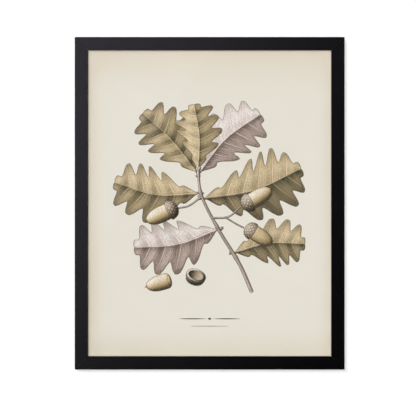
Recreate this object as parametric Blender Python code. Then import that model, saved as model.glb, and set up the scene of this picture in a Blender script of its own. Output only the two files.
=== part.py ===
"""Framed print for a wall: four mitred rails, glass, print, filler board and backing,
turn buttons on screws, corner v-nails, a sawtooth hanger and two bumpers.

Units are metres. X runs across, Z up, and the wall is the plane Y = 0 behind the frame, so the
front faces -Y. The origin is where the wall's nail carries the hanger.
"""

from math import cos, pi, radians, sin

import bmesh
import bpy
from mathutils import Matrix, Vector

MM = 0.001
GAP = 0.3 * MM
MITRE_GAP = 0.2 * MM

# Print and rails
PRINT_W = 406.4 * MM
PRINT_H = 508.0 * MM
PRINT_T = 0.3 * MM
LIP_OVER_PRINT = 6.35 * MM
PRINT_PLAY = 1.2 * MM
RAIL_FACE = 21.5 * MM
LIP_T = 5.5 * MM
FRONT_OUTER_R = 0.6 * MM
FRONT_INNER_R = 0.5 * MM
BACK_EASE = 0.5 * MM
EDGE_STEPS = 4

# Sheets behind the lip, each GAP from the next
GLASS_T = 2.0 * MM
FILLER_T = 4.8 * MM
BACKING_T = 3.2 * MM

# Hanger, at the middle of the top rail
HANGER_T = 0.9 * MM
HANGER_H = 9.0 * MM
HANGER_HOLE_SPAN = 38.0 * MM
HANGER_RAISE = 1.8 * MM
HANGER_BEND_IN = 13.6 * MM
HANGER_BEND_OUT = 11.6 * MM
HANGER_END_STEPS = 10
TOOTH_PITCH = 2.4 * MM
TOOTH_H = 1.8 * MM
TOOTH_COUNT = 8

# Nails and screws
NAIL_R = 0.7 * MM
NAIL_LENGTH = 11.0 * MM
NAIL_HEAD_R = 1.9 * MM
NAIL_HEAD_T = 0.7 * MM
NAIL_CROWN_R = 1.6 * MM
SCREW_R = 1.4 * MM
SCREW_LENGTH = 11.5 * MM
SCREW_HEAD_R = 3.0 * MM
SCREW_HEAD_T = 1.5 * MM
SCREW_DOME_R = 5.7 * MM
POINT_LENGTH = 2.5 * MM

# Turn buttons, eight of them, two to a rail
BUTTON_T = 0.8 * MM
BUTTON_TAIL_R = 5.0 * MM
BUTTON_TIP_R = 3.6 * MM
BUTTON_REACH = 19.0 * MM
BUTTON_TAPER = 5
TAIL_STEPS = 12
TIP_STEPS = 8
SIDE_BUTTON_Z = 128.0 * MM
END_BUTTON_X = 104.0 * MM

# V-nails, one across each mitre, driven in from the back
V_LEG = 6.0 * MM
V_T = 0.6 * MM
V_DEPTH = 9.0 * MM
V_APEX_OUT = 1.5 * MM

# Rubber bumpers on the lower corners
BUMPER_R = 5.0 * MM
BUMPER_WALL_H = 0.9 * MM
BUMPER_SHOULDER_R = 4.65 * MM
BUMPER_SHOULDER_H = 2.1 * MM
BUMPER_FACE_R = 3.4 * MM
BUMPER_T = 3.0 * MM
BUMPER_INSET = 27.0 * MM

# Sides of the round pieces, and the sharpest edge, in degrees, that is shaded smooth
HOLE_SIDES = 16
SCREW_SIDES = 16
NAIL_SIDES = 12
BUMPER_SIDES = 24
PIVOT_HOLE_SIDES = 24
SMOOTH_ANGLE = 35

# Worked out
SIGHT_W = PRINT_W - 2 * LIP_OVER_PRINT
SIGHT_H = PRINT_H - 2 * LIP_OVER_PRINT
OUTER_W = SIGHT_W + 2 * RAIL_FACE
OUTER_H = SIGHT_H + 2 * RAIL_FACE
RABBET_W = LIP_OVER_PRINT + PRINT_PLAY
LAND = RAIL_FACE - RABBET_W
STACK = GLASS_T + PRINT_T + FILLER_T + BACKING_T + 4 * GAP
DEPTH = LIP_T + STACK
BACK_Y = -(BUMPER_T + GAP)
FRONT_Y = BACK_Y - DEPTH
SEAT_Y = FRONT_Y + LIP_T
TOP_Z = LAND / 2 + HANGER_H / 2 - TOOTH_H
CENTRE_Z = TOP_Z - OUTER_H / 2
BOTTOM_Z = TOP_Z - OUTER_H
BUTTON_Y = BACK_Y + GAP
SCREW_HEAD_Y = BUTTON_Y + BUTTON_T + GAP
HANGER_Y = BACK_Y + GAP
NAIL_HEAD_Y = HANGER_Y + HANGER_T + GAP
HANGER_MID_Z = HANGER_H / 2 - TOOTH_H

COLOURS = {
    "frame_paint": ((0.012, 0.012, 0.014), 0.38, 0.0),
    "clear_glass": ((0.85, 0.90, 0.88), 0.03, 0.0),
    "print_paper": ((0.79, 0.74, 0.64), 0.85, 0.0),
    "filler_board": ((0.62, 0.50, 0.36), 0.90, 0.0),
    "backing_board": ((0.20, 0.11, 0.055), 0.75, 0.0),
    "zinc": ((0.62, 0.62, 0.60), 0.35, 1.0),
    "brass_plate": ((0.62, 0.46, 0.20), 0.35, 1.0),
    "bumper_rubber": ((0.03, 0.03, 0.03), 0.80, 0.0),
}


def clear_scene():
    for item in list(bpy.data.objects):
        bpy.data.objects.remove(item, do_unlink=True)


def make_material(slot):
    colour, roughness, metallic = COLOURS[slot]
    material = bpy.data.materials.new(slot)
    material.use_nodes = True
    shader = material.node_tree.nodes["Principled BSDF"]
    shader.inputs["Base Color"].default_value = (*colour, 1.0)
    shader.inputs["Roughness"].default_value = roughness
    shader.inputs["Metallic"].default_value = metallic
    return material


def mesh_from(bm, name, smooth=False):
    bmesh.ops.recalc_face_normals(bm, faces=bm.faces)
    mesh = bpy.data.meshes.new(name)
    bm.to_mesh(mesh)
    bm.free()
    if smooth:
        mesh.shade_smooth()
        mesh.set_sharp_from_angle(angle=radians(SMOOTH_ANGLE))
    return mesh


def place(name, mesh, slot, parent, location=(0, 0, 0), turn=0.0):
    item = bpy.data.objects.new(name, mesh)
    bpy.context.scene.collection.objects.link(item)
    item.data.materials.clear()
    item.data.materials.append(materials[slot])
    item.parent = parent
    item.location = location
    item.rotation_euler = (0, turn, 0)
    return item


def sheet_mesh(name, width, height, thickness):
    """A flat sheet, its front face at y = 0 and centred on x and z."""
    bm = bmesh.new()
    bmesh.ops.create_cube(bm, size=1.0)
    bmesh.ops.scale(bm, vec=(width, thickness, height), verts=bm.verts)
    bmesh.ops.translate(bm, vec=(0, thickness / 2, 0), verts=bm.verts)
    return mesh_from(bm, name)


def arc(centre, radius, start, stop, steps):
    """Points on an arc in a plane, from start to stop in degrees."""
    points = []
    for step in range(steps + 1):
        angle = radians(start + (stop - start) * step / steps)
        points.append((centre[0] + radius * cos(angle), centre[1] + radius * sin(angle)))
    return points


def circle(centre, radius, sides):
    return arc(centre, radius, 0, 360, sides)[:-1]


def rail_profile():
    """The rail's section as (distance in from the outer edge, y), back plane at y = 0."""
    front = -DEPTH
    outer = arc((FRONT_OUTER_R, front + FRONT_OUTER_R), FRONT_OUTER_R, 180, 270, EDGE_STEPS)
    inner_centre = (RAIL_FACE - FRONT_INNER_R, front + FRONT_INNER_R)
    inner = arc(inner_centre, FRONT_INNER_R, -90, 0, EDGE_STEPS)
    seat = front + LIP_T
    rabbet = [(RAIL_FACE, seat), (LAND, seat), (LAND, 0.0)]
    back = [(BACK_EASE, 0.0), (0.0, -BACK_EASE)]
    return outer + inner + rabbet + back


def rail_mesh(name, length):
    """A mitred rail along x, its outer edge at z = 0 and its sight edge at z = RAIL_FACE."""
    trim = MITRE_GAP / 2 * 2 ** 0.5
    bm = bmesh.new()
    ends = []
    for side in (-1, 1):
        loop = []
        for inward, y in rail_profile():
            x = side * (length / 2 - inward - trim)
            loop.append(bm.verts.new((x, y, inward)))
        ends.append(loop)
    count = len(ends[0])
    for k in range(count):
        after = (k + 1) % count
        bm.faces.new((ends[0][k], ends[0][after], ends[1][after], ends[1][k]))
    for loop in ends:
        bm.faces.new(loop)
    return mesh_from(bm, name, smooth=True)


def turned_mesh(name, profile, sides):
    """A solid turned about the y axis, from (radius, y) points that start and end at radius 0."""
    bm = bmesh.new()
    rings = []
    for radius, y in profile:
        if radius == 0:
            rings.append([bm.verts.new((0, y, 0))])
            continue
        ring = []
        for side in range(sides):
            angle = 2 * pi * side / sides
            ring.append(bm.verts.new((radius * cos(angle), y, radius * sin(angle))))
        rings.append(ring)
    for low, high in zip(rings, rings[1:]):
        for side in range(sides):
            after = (side + 1) % sides
            corners = [low[side % len(low)], low[after % len(low)]]
            corners += [high[after % len(high)], high[side % len(high)]]
            bm.faces.new(list(dict.fromkeys(corners)))
    return mesh_from(bm, name, smooth=True)


def shank_profile(radius, length):
    """A pointed shank, down from y = 0."""
    return [(radius, 0), (radius, POINT_LENGTH - length), (0, -length)]


def screw_profile():
    """A pan-head screw, the underside of its head at y = 0 and its point at -y."""
    dome = arc((0, SCREW_HEAD_T - SCREW_DOME_R), SCREW_DOME_R, 80, 70, 1)
    rim = [(SCREW_HEAD_R, SCREW_HEAD_T / 2), (SCREW_HEAD_R, 0)]
    return [(0, SCREW_HEAD_T)] + dome + rim + shank_profile(SCREW_R, SCREW_LENGTH)


def nail_profile():
    """A flat-head nail, the underside of its head at y = 0 and its point at -y."""
    crown = [(0, NAIL_HEAD_T), (NAIL_CROWN_R, NAIL_HEAD_T)]
    rim = [(NAIL_HEAD_R, NAIL_HEAD_T / 2), (NAIL_HEAD_R, 0)]
    return crown + rim + shank_profile(NAIL_R, NAIL_LENGTH)


def bumper_profile():
    """A domed bumper: stuck-on face at y = 0, wall face at y = BUMPER_T."""
    foot = [(0, 0), (BUMPER_R, 0), (BUMPER_R, BUMPER_WALL_H)]
    return foot + [(BUMPER_SHOULDER_R, BUMPER_SHOULDER_H), (BUMPER_FACE_R, BUMPER_T), (0, BUMPER_T)]


def plate_mesh(name, loops, thickness, raise_at=None, bends=()):
    """A plate in the xz plane from an outline and its holes, thickened from y = 0 to +y.

    raise_at gives the plate's y at each x, and bends lists the x of its bend lines.
    """
    bm = bmesh.new()
    edges = []
    for loop in loops:
        verts = [bm.verts.new((x, 0, z)) for x, z in loop]
        edges += [bm.edges.new((verts[k - 1], verts[k])) for k in range(len(verts))]
    bmesh.ops.triangle_fill(bm, edges=edges, use_beauty=True)
    for x in bends:
        everything = list(bm.verts) + list(bm.edges) + list(bm.faces)
        bmesh.ops.bisect_plane(bm, geom=everything, plane_co=(x, 0, 0), plane_no=(1, 0, 0))
    if raise_at:
        for vert in bm.verts:
            vert.co.y = raise_at(vert.co.x)
    sheet = bmesh.ops.extrude_face_region(bm, geom=list(bm.faces))
    moved = [item for item in sheet["geom"] if isinstance(item, bmesh.types.BMVert)]
    bmesh.ops.translate(bm, vec=(0, thickness, 0), verts=moved)
    return mesh_from(bm, name)


def hanger_outline():
    """Round ends about the nail holes and, below, a row of teeth that point down."""
    half = HANGER_HOLE_SPAN / 2
    radius = HANGER_H / 2
    right = arc((half, HANGER_MID_Z), radius, 90, -90, HANGER_END_STEPS)
    left = arc((-half, HANGER_MID_Z), radius, 270, 90, HANGER_END_STEPS)
    base = HANGER_MID_Z - radius
    teeth = []
    for tooth in range(TOOTH_COUNT + 1):
        x = (TOOTH_COUNT / 2 - tooth) * TOOTH_PITCH
        teeth.append((x, base))
        if tooth < TOOTH_COUNT:
            teeth.append((x - TOOTH_PITCH / 2, base + TOOTH_H))
    return right + teeth + left


def hanger_raise(x):
    """How far the plate stands off: flat ends, sloped bends, raised middle."""
    share = (HANGER_BEND_IN - abs(x)) / (HANGER_BEND_IN - HANGER_BEND_OUT)
    return HANGER_RAISE * min(1.0, max(0.0, share))


def hanger_mesh():
    holes = []
    for side in (-1, 1):
        centre = (side * HANGER_HOLE_SPAN / 2, HANGER_MID_Z)
        holes.append(circle(centre, NAIL_R + GAP, NAIL_SIDES))
    bends = (-HANGER_BEND_IN, -HANGER_BEND_OUT, HANGER_BEND_OUT, HANGER_BEND_IN)
    return plate_mesh("hanger", [hanger_outline()] + holes, HANGER_T, hanger_raise, bends)


def button_mesh():
    """A turn button that points along +x from its pivot hole at the origin."""
    tip_x = BUTTON_REACH - BUTTON_TIP_R
    tail = arc((0, 0), BUTTON_TAIL_R, 90 + BUTTON_TAPER, 270 - BUTTON_TAPER, TAIL_STEPS)
    tip = arc((tip_x, 0), BUTTON_TIP_R, BUTTON_TAPER - 90, 90 - BUTTON_TAPER, TIP_STEPS)
    hole = circle((0, 0), SCREW_R + GAP, PIVOT_HOLE_SIDES)
    return plate_mesh("turn_button", [tail + tip, hole], BUTTON_T)


def v_loop(grow):
    """A right-angled v, its apex at the origin and legs along +x and +z, grown all round."""
    inner = V_T / 2 + grow
    leg = V_LEG + grow
    outer = -inner
    return [(outer, outer), (leg, outer), (leg, inner), (inner, inner), (inner, leg), (outer, leg)]


def v_mesh(name, grow, depth, proud):
    mesh = plate_mesh(name, [v_loop(grow)], depth + proud)
    mesh.transform(Matrix.Translation((0, -depth, 0)))
    return mesh


def turned_cutter(radius, depth, proud):
    """A round hole's cutter, down from y = proud to y = -depth."""
    profile = [(0, proud), (radius, proud), (radius, -depth), (0, -depth)]
    return turned_mesh("round_cutter", profile, HOLE_SIDES)


def place_cutter(mesh, location, turn=0.0):
    cutter = place("cutter", mesh, "frame_paint", None, location, turn)
    scene_cutters.append(cutter)
    bpy.context.scene.collection.objects.unlink(cutter)
    cutter_group.objects.link(cutter)
    cutter.hide_render = True
    cutter.display_type = "WIRE"


def cut_by_all(item):
    for number, cutter in enumerate(near_cutters(item)):
        modifier = item.modifiers.new(f"hole_{number}", "BOOLEAN")
        modifier.operation = "DIFFERENCE"
        modifier.solver = "EXACT"
        modifier.object = cutter


def near_cutters(item):
    """The cutters whose middle lies inside the rail's own box, mitres included."""
    place_in_world = Matrix.LocRotScale(item.location, item.rotation_euler, None)
    corners = [place_in_world @ Vector(corner) for corner in item.bound_box]
    low = [min(corner[axis] for corner in corners) for axis in (0, 2)]
    high = [max(corner[axis] for corner in corners) for axis in (0, 2)]
    near = []
    for cutter in scene_cutters:
        spot = (cutter.location.x, cutter.location.z)
        if all(low[k] <= spot[k] <= high[k] for k in (0, 1)):
            near.append(cutter)
    return near


def button_spots():
    """Each turn button's name, pivot and the angle about y that points it at the middle."""
    inset = LAND / 2
    side_x = OUTER_W / 2 - inset
    spots = []
    for row, z in (("upper", SIDE_BUTTON_Z), ("lower", -SIDE_BUTTON_Z)):
        spots.append((f"left_{row}", (-side_x, BUTTON_Y, CENTRE_Z + z), 0.0))
        spots.append((f"right_{row}", (side_x, BUTTON_Y, CENTRE_Z + z), pi))
    for column, x in (("left", -END_BUTTON_X), ("right", END_BUTTON_X)):
        spots.append((f"top_{column}", (x, BUTTON_Y, TOP_Z - inset), pi / 2))
        spots.append((f"bottom_{column}", (x, BUTTON_Y, BOTTOM_Z + inset), -pi / 2))
    return spots


def corner_spots():
    """Each corner's name, the v-nail's apex and the angle about y that opens it inwards."""
    across = OUTER_W / 2 - LAND / 2 + V_APEX_OUT
    up = OUTER_H / 2 - LAND / 2 + V_APEX_OUT
    return [
        ("bottom_left", (-across, BACK_Y, CENTRE_Z - up), 0.0),
        ("top_left", (-across, BACK_Y, CENTRE_Z + up), pi / 2),
        ("top_right", (across, BACK_Y, CENTRE_Z + up), pi),
        ("bottom_right", (across, BACK_Y, CENTRE_Z - up), -pi / 2),
    ]


def build_cutters():
    pilot = turned_cutter(SCREW_R + GAP, SCREW_LENGTH + GAP, GAP)
    for name, pivot, turn in button_spots():
        place_cutter(pilot, (pivot[0], BACK_Y, pivot[2]))
    nail_hole = turned_cutter(NAIL_R + GAP, NAIL_LENGTH + GAP, GAP)
    for side in (-1, 1):
        place_cutter(nail_hole, (side * HANGER_HOLE_SPAN / 2, BACK_Y, HANGER_MID_Z))
    slot = v_mesh("v_cutter", GAP, V_DEPTH + GAP, GAP)
    for name, spot, turn in corner_spots():
        place_cutter(slot, spot, turn)


def build_rails(parent):
    level = rail_mesh("level_rail", OUTER_W)
    upright = rail_mesh("upright_rail", OUTER_H)
    rails = [
        ("rail_bottom", level, (0, BACK_Y, BOTTOM_Z), 0.0),
        ("rail_top", level, (0, BACK_Y, TOP_Z), pi),
        ("rail_left", upright, (-OUTER_W / 2, BACK_Y, CENTRE_Z), pi / 2),
        ("rail_right", upright, (OUTER_W / 2, BACK_Y, CENTRE_Z), -pi / 2),
    ]
    for name, mesh, location, turn in rails:
        cut_by_all(place(name, mesh, "frame_paint", parent, location, turn))


def build_sheets(parent):
    """The stack in the rabbet, from the lip backwards."""
    sheets = [
        ("glazing", GLASS_T, "clear_glass"),
        ("print", PRINT_T, "print_paper"),
        ("filler_board", FILLER_T, "filler_board"),
        ("backing_board", BACKING_T, "backing_board"),
    ]
    y = SEAT_Y
    for name, thickness, slot in sheets:
        y += GAP
        mesh = sheet_mesh(name, PRINT_W, PRINT_H, thickness)
        place(name, mesh, slot, parent, (0, y, CENTRE_Z))
        y += thickness


def build_buttons(parent):
    button = button_mesh()
    screw = turned_mesh("screw", screw_profile(), SCREW_SIDES)
    for name, pivot, turn in button_spots():
        place(f"turn_button_{name}", button, "brass_plate", parent, pivot, turn)
        head = (pivot[0], SCREW_HEAD_Y, pivot[2])
        place(f"screw_{name}", screw, "zinc", parent, head)


def build_hanger(parent):
    place("hanger", hanger_mesh(), "zinc", parent, (0, HANGER_Y, 0))
    nail = turned_mesh("nail", nail_profile(), NAIL_SIDES)
    for side, x in (("left", -HANGER_HOLE_SPAN / 2), ("right", HANGER_HOLE_SPAN / 2)):
        place(f"hanger_nail_{side}", nail, "zinc", parent, (x, NAIL_HEAD_Y, HANGER_MID_Z))


def build_corners(parent):
    nail = v_mesh("v_nail", 0.0, V_DEPTH, 0.0)
    for name, spot, turn in corner_spots():
        place(f"v_nail_{name}", nail, "zinc", parent, spot, turn)


def build_bumpers(parent):
    bumper = turned_mesh("bumper", bumper_profile(), BUMPER_SIDES)
    z = BOTTOM_Z + LAND / 2
    for side, x in (("left", -OUTER_W / 2 + BUMPER_INSET), ("right", OUTER_W / 2 - BUMPER_INSET)):
        place(f"bumper_{side}", bumper, "bumper_rubber", parent, (x, BACK_Y + GAP, z))


clear_scene()
materials = {slot: make_material(slot) for slot in COLOURS}
scene_cutters = []
cutter_group = bpy.data.collections.new("cutters")
bpy.context.scene.collection.children.link(cutter_group)
nail_point = bpy.data.objects.new("nail_point", None)
bpy.context.scene.collection.objects.link(nail_point)
build_cutters()
build_rails(nail_point)
build_sheets(nail_point)
build_buttons(nail_point)
build_hanger(nail_point)
build_corners(nail_point)
build_bumpers(nail_point)
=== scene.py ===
from math import cos, hypot, pi, radians, sin

import bmesh
import bpy
import numpy as np
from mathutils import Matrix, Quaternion, Vector
from mathutils.geometry import delaunay_2d_cdt


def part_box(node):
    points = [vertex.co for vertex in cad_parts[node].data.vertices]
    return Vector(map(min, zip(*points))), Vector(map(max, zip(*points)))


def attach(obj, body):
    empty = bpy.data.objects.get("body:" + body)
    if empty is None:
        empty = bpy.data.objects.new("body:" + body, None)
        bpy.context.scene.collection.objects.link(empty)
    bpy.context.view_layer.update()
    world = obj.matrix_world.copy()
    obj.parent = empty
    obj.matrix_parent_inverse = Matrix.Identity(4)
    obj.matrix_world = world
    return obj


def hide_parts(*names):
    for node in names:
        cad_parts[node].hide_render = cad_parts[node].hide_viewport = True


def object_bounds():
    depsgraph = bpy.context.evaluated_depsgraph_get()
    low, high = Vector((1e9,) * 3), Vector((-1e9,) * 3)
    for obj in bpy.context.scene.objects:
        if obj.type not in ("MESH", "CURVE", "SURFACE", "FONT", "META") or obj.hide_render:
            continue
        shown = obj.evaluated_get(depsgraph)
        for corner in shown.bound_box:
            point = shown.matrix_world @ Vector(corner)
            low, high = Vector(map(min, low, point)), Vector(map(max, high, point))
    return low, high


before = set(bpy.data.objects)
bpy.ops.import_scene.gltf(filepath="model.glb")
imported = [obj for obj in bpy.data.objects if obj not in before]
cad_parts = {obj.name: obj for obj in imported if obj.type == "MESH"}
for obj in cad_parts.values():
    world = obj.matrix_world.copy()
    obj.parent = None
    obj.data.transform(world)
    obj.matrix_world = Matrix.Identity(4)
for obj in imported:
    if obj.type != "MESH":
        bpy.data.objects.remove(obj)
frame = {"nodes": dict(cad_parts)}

cad_low, cad_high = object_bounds()

# Sizes are in metres
MM = 0.001

# The photograph: its width and its middle against the object's in pixels, a pixel's size, and the lens
PHOTO_W = 416
CENTRE_LEFT_OF_OBJECT = 1.64
CENTRE_ABOVE_OBJECT = 1.73
PIXEL = 1.618 * MM
LENS = 135.0
SENSOR = 36.0

# The frame's own body, and the boxes that the rest is worked out from
BODY = "frame"
sheet_low, sheet_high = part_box("print")
left_low, left_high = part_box("rail_left")
top_low, top_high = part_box("rail_top")
bottom_low, bottom_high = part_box("rail_bottom")
FRONT_Y = left_low.y
BACK_Y = left_high.y
OUTER_W = 2 * -left_low.x
TOP_Z = top_high.z
BOTTOM_Z = left_low.z
MIDDLE = Vector((0, (FRONT_Y + BACK_Y) / 2, (cad_low.z + cad_high.z) / 2))


# Node helpers

class Shading:
    """A material's node tree, with short calls for the nodes that the finishes use."""

    def __init__(self, name):
        self.material = bpy.data.materials.new(name)
        self.material.use_nodes = True
        self.tree = self.material.node_tree
        self.shader = self.tree.nodes["Principled BSDF"]
        self.output = self.tree.nodes["Material Output"]

    def add(self, kind, **settings):
        node = self.tree.nodes.new(kind)
        for key, value in settings.items():
            setattr(node, key, value)
        return node

    def link(self, source, target):
        self.tree.links.new(source, target)

    def feed(self, socket, value):
        if isinstance(value, bpy.types.NodeSocket):
            self.link(value, socket)
        else:
            socket.default_value = value

    def place(self, scale=(1, 1, 1)):
        """Object coordinates, scaled by axis."""
        where = self.add("ShaderNodeTexCoord").outputs["Object"]
        mapping = self.add("ShaderNodeMapping")
        self.link(where, mapping.inputs["Vector"])
        mapping.inputs["Scale"].default_value = scale
        return mapping.outputs["Vector"]

    def axes(self, vector):
        split = self.add("ShaderNodeSeparateXYZ")
        self.link(vector, split.inputs[0])
        return split.outputs

    def noise(self, scale, detail, stretch=(1, 1, 1), rough=0.5):
        node = self.add("ShaderNodeTexNoise")
        self.link(self.place(stretch), node.inputs["Vector"])
        node.inputs["Scale"].default_value = scale
        node.inputs["Detail"].default_value = detail
        node.inputs["Roughness"].default_value = rough
        return node.outputs["Fac"]

    def spread(self, value, low, high, to_low, to_high, smooth=False):
        node = self.add("ShaderNodeMapRange")
        if smooth:
            node.interpolation_type = "SMOOTHSTEP"
        ends = {"From Min": low, "From Max": high, "To Min": to_low, "To Max": to_high}
        for name, number in ends.items():
            node.inputs[name].default_value = number
        self.feed(node.inputs["Value"], value)
        return node.outputs["Result"]

    def math(self, operation, first, second=0.0):
        node = self.add("ShaderNodeMath", operation=operation)
        self.feed(node.inputs[0], first)
        self.feed(node.inputs[1], second)
        return node.outputs[0]

    def mix(self, share, first, second, blend="MIX"):
        node = self.add("ShaderNodeMix", data_type="RGBA", blend_type=blend)
        self.feed(node.inputs[0], share)
        for socket, value in ((node.inputs[6], first), (node.inputs[7], second)):
            self.feed(socket, value if isinstance(value, bpy.types.NodeSocket) else (*value, 1.0))
        return node.outputs[2]

    def bump(self, height, distance, strength):
        node = self.add("ShaderNodeBump")
        node.inputs["Strength"].default_value = strength
        node.inputs["Distance"].default_value = distance
        self.link(height, node.inputs["Height"])
        self.link(node.outputs["Normal"], self.shader.inputs["Normal"])

    def fade(self, distance, reach, strength):
        """Strength at no distance, falling to nothing along a bell curve."""
        share = self.math("DIVIDE", self.math("MAXIMUM", distance, 0.0), reach)
        squared = self.math("MULTIPLY", share, share)
        bell = self.math("EXPONENT", self.math("MULTIPLY", squared, -1.0))
        return self.math("MULTIPLY", bell, strength)

    def set(self, **values):
        for name, value in values.items():
            self.feed(self.shader.inputs[name.replace("_", " ")], value)

    def blend(self, share, first, second):
        """Makes the surface one shader where share is 0 and another where it is 1."""
        both = self.add("ShaderNodeMixShader")
        for source, socket in zip((share, first, second), both.inputs):
            self.link(source, socket)
        self.link(both.outputs[0], self.output.inputs["Surface"])


def srgb(*levels):
    """Linear colour from 0 to 255 display levels."""
    out = []
    for level in levels:
        v = level / 255
        out.append(v / 12.92 if v <= 0.04045 else ((v + 0.055) / 1.055) ** 2.4)
    return tuple(out)


# Finishes

# The rails' back, in from its outer edge: where wood ends, where paint is full, and its edge's wander
WOOD_ENDS = 3.4 * MM
PAINT_STARTS = 1.6 * MM
PAINT_WANDER = 3.2 * MM
# The paper's toning: reach in millimetres and strength from each side of the opening
TONED_TOP = (40, 1.0)
TONED_BOTTOM = (30, 0.75)
TONED_LEFT = (16, 1.0)
TONED_RIGHT = (13, 0.65)
AGED_REACH = 130 * MM


def painted_wood(name, along_x):
    """Satin black paint that laps over the outer edge of the bare wooden back."""
    s = Shading(name)
    grain = (0.12, 1, 1) if along_x else (1, 1, 0.12)
    tone = s.noise(90, 3, grain)
    paint = s.mix(tone, (0.0002, 0.0002, 0.0003), (0.0005, 0.0004, 0.0006))
    rings = s.noise(260, 4, grain, 0.6)
    pale = s.mix(s.spread(rings, 0.35, 0.65, 0, 1), srgb(196, 160, 112), srgb(160, 118, 74))
    wood = s.mix(s.spread(s.noise(40, 2), 0.4, 0.7, 0, 0.5), pale, srgb(184, 146, 100))
    where = s.axes(s.place())
    facing = s.axes(s.add("ShaderNodeNewGeometry").outputs["Normal"])
    back = s.spread(facing["Y"], 0.85, 0.98, 0, 1)
    if along_x:
        across = s.math("ABSOLUTE", s.math("SUBTRACT", where["Z"], MIDDLE.z))
        edge = TOP_Z - MIDDLE.z
    else:
        across = s.math("ABSOLUTE", where["X"])
        edge = OUTER_W / 2
    reach = s.math("ADD", across, s.math("MULTIPLY", s.noise(160, 3), PAINT_WANDER))
    unpainted = s.spread(reach, edge - WOOD_ENDS, edge - PAINT_STARTS, 1, 0, True)
    wood_share = s.math("MULTIPLY", back, unpainted)
    s.set(Base_Color=s.mix(wood_share, paint, wood), Specular_IOR_Level=0.5)
    gloss = s.spread(s.noise(420, 3, grain), 0.3, 0.7, 0.30, 0.36)
    s.set(Roughness=s.math("ADD", gloss, s.math("MULTIPLY", wood_share, 0.4)))
    height = s.math("ADD", s.math("MULTIPLY", rings, 0.4), s.noise(900, 2))
    s.bump(height, 0.04 * MM, 0.5)
    return s.material


def clear_pane():
    """Clear glass with a faint sheen, which lets the lamps' light through to the print."""
    s = Shading("clear_pane")
    s.tree.nodes.remove(s.shader)
    through = s.add("ShaderNodeBsdfTransparent")
    through.inputs["Color"].default_value = (0.988, 0.985, 0.988, 1)
    sheen = s.add("ShaderNodeBsdfGlossy")
    sheen.inputs["Roughness"].default_value = 0.04
    slant = s.add("ShaderNodeFresnel")
    slant.inputs["IOR"].default_value = 1.3
    behind = s.add("ShaderNodeNewGeometry").outputs["Backfacing"]
    front = s.math("SUBTRACT", s.spread(s.noise(14, 3), 0.3, 0.7, 0.9, 1.0), behind)
    share = s.math("MULTIPLY", slant.outputs[0], s.math("MAXIMUM", front, 0.0))
    s.blend(share, through.outputs[0], sheen.outputs[0])
    return s.material


def printed_paper():
    """Old paper, toned towards its edges, with painted light that makes it lighter towards the right and
    the bottom, and with ink in a fine grain over it.
    """
    s = Shading("printed_paper")
    where = s.axes(s.place())
    x, z = where["X"], where["Z"]
    toned = 0.0
    for gap, (reach, strength) in (
        (s.math("SUBTRACT", top_low.z, z), TONED_TOP),
        (s.math("SUBTRACT", z, bottom_high.z), TONED_BOTTOM),
        (s.math("SUBTRACT", x, left_high.x), TONED_LEFT),
        (s.math("SUBTRACT", -left_high.x, x), TONED_RIGHT),
    ):
        toned = s.math("ADD", s.fade(gap, reach * MM, strength), toned)
    toned = s.math("MULTIPLY", toned, s.spread(s.noise(26, 4), 0.3, 0.7, 0.8, 1.2))
    # Random pale patches, plus painted light: the paper is made lighter towards the right and the bottom,
    # where the lamps' light falls off
    pale = s.math("MULTIPLY", s.noise(30, 3), 0.5)
    pale = s.math("ADD", pale, s.spread(x, sheet_low.x, sheet_high.x, 0.05, 0.4))
    pale = s.math("ADD", pale, s.spread(z, sheet_high.z, sheet_low.z, 0, 0.5))
    # The untoned paper's colour, with that painted light in it
    untoned_and_painted_light = s.mix(pale, srgb(224, 220, 206.5), srgb(232, 228.3, 215))
    from_left = s.spread(x, left_high.x, left_high.x + AGED_REACH, 0, 1)
    aged = s.mix(from_left, srgb(220.5, 212.5, 193), srgb(225, 216.5, 197))
    plain = s.mix(toned, untoned_and_painted_light, aged)
    fibres = s.spread(s.noise(1500, 4, (1, 1, 0.35), 0.7), 0.62, 0.72, 0, 0.05)
    plain = s.mix(fibres, plain, srgb(186, 168, 138))
    ink = s.add("ShaderNodeAttribute", attribute_name="ink")
    grain = s.spread(s.noise(420, 3, (1, 1, 1), 0.7), 0.36, 0.64, 0.79, 1.13)
    dots = s.add("ShaderNodeTexVoronoi")
    s.link(s.place(), dots.inputs["Vector"])
    dots.inputs["Scale"].default_value = 1100
    stipple = s.spread(dots.outputs["Distance"], 0.1, 0.5, 0.88, 1.05)
    density = s.math("MULTIPLY", grain, stipple)
    tint = s.mix(1.0, ink.outputs["Color"], density, "MULTIPLY")
    cover = s.spread(s.noise(800, 2), 0.25, 0.42, 0.72, 1.0)
    s.set(Base_Color=s.mix(s.math("MULTIPLY", ink.outputs["Alpha"], cover), plain, tint))
    s.set(Roughness=s.spread(s.noise(60, 2), 0.3, 0.7, 0.82, 0.9), Specular_IOR_Level=0.3)
    s.bump(s.noise(1300, 4), 0.03 * MM, 0.4)
    return s.material


def zinc_plate():
    """Bright zinc plate, a little clouded."""
    s = Shading("zinc_plate")
    base = s.mix(s.spread(s.noise(130, 4), 0.35, 0.65, 0, 1), srgb(196, 196, 190), srgb(214, 215, 214))
    s.set(Base_Color=base, Metallic=1.0, Roughness=s.spread(s.noise(600, 3), 0.3, 0.7, 0.26, 0.40))
    s.bump(s.noise(1800, 2), 0.02 * MM, 0.4)
    return s.material


def brass_plate():
    """Brass-plated steel with fine tumbling marks."""
    s = Shading("brass_plated")
    warm = s.mix(s.spread(s.noise(90, 3), 0.35, 0.65, 0, 1), srgb(206, 170, 96), srgb(222, 190, 120))
    marks = s.spread(s.noise(1400, 4, (1, 1, 1), 0.7), 0.35, 0.65, 0.24, 0.42)
    s.set(Base_Color=warm, Metallic=1.0, Roughness=marks)
    s.bump(s.noise(2400, 2), 0.02 * MM, 0.4)
    return s.material


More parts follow.
